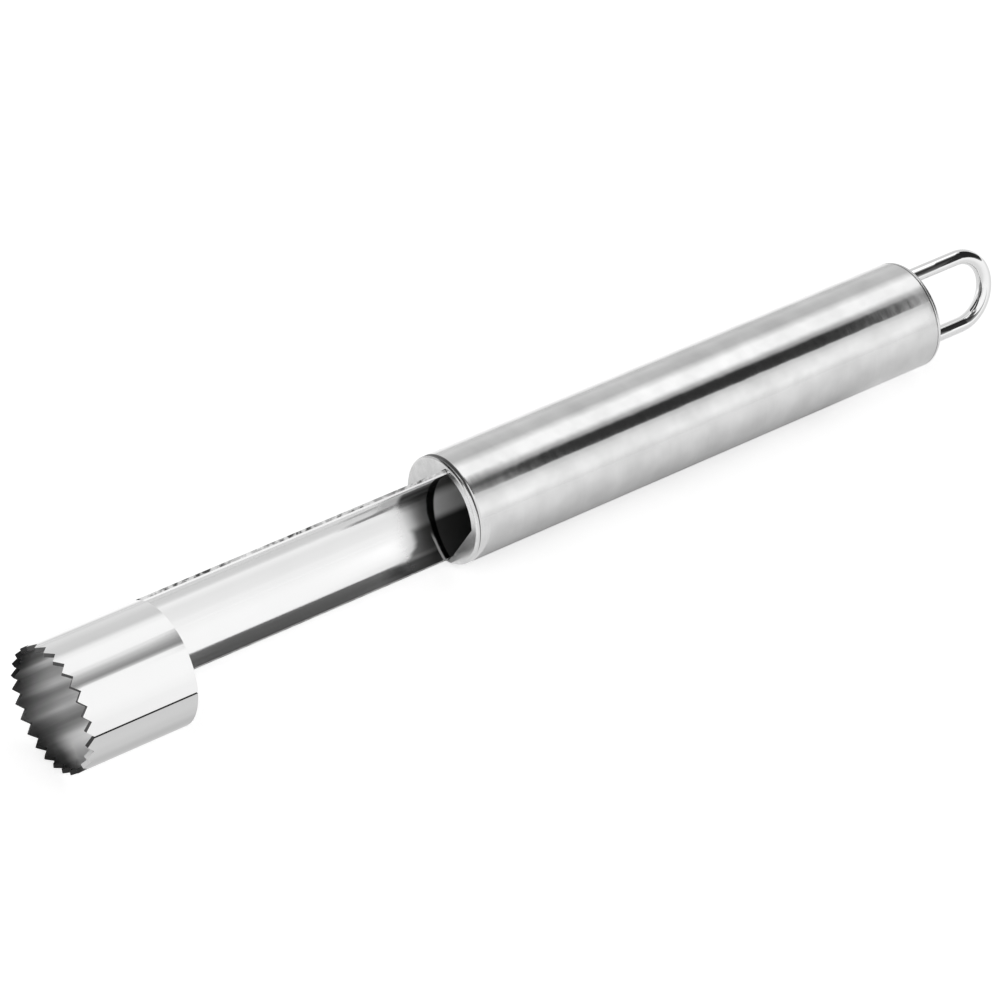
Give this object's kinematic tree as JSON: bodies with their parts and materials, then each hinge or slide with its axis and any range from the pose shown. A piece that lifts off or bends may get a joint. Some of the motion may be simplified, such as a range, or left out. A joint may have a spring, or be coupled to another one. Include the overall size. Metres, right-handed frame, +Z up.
{
  "type": "fruit corer",
  "caption": "All-steel fruit corer: a serrated ring and open trough rolled from one strip, set in a round tubular handle with a wire hanging loop.",
  "frame": {"origin": "on the surface it lies on, under the middle of its bounding box", "axes": "+X along the tool from the teeth to the hanging loop, +Z up, the open side of the trough towards -Y"},
  "size_m": [0.2144, 0.0292, 0.0224],
  "materials": {
    "polished_steel": "bright rolled and buffed stainless sheet",
    "satin_steel": "satin ground stainless tube",
    "bright_wire": "bright drawn stainless wire",
    "cap_steel": "pressed stainless, polished with the tube"
  },
  "bodies": {
    "root": {"coring_blade": "polished_steel", "handle_tube": "satin_steel", "front_cap": "cap_steel", "rear_cap": "cap_steel", "hanging_loop": "bright_wire"}
  },
  "joints": []
}
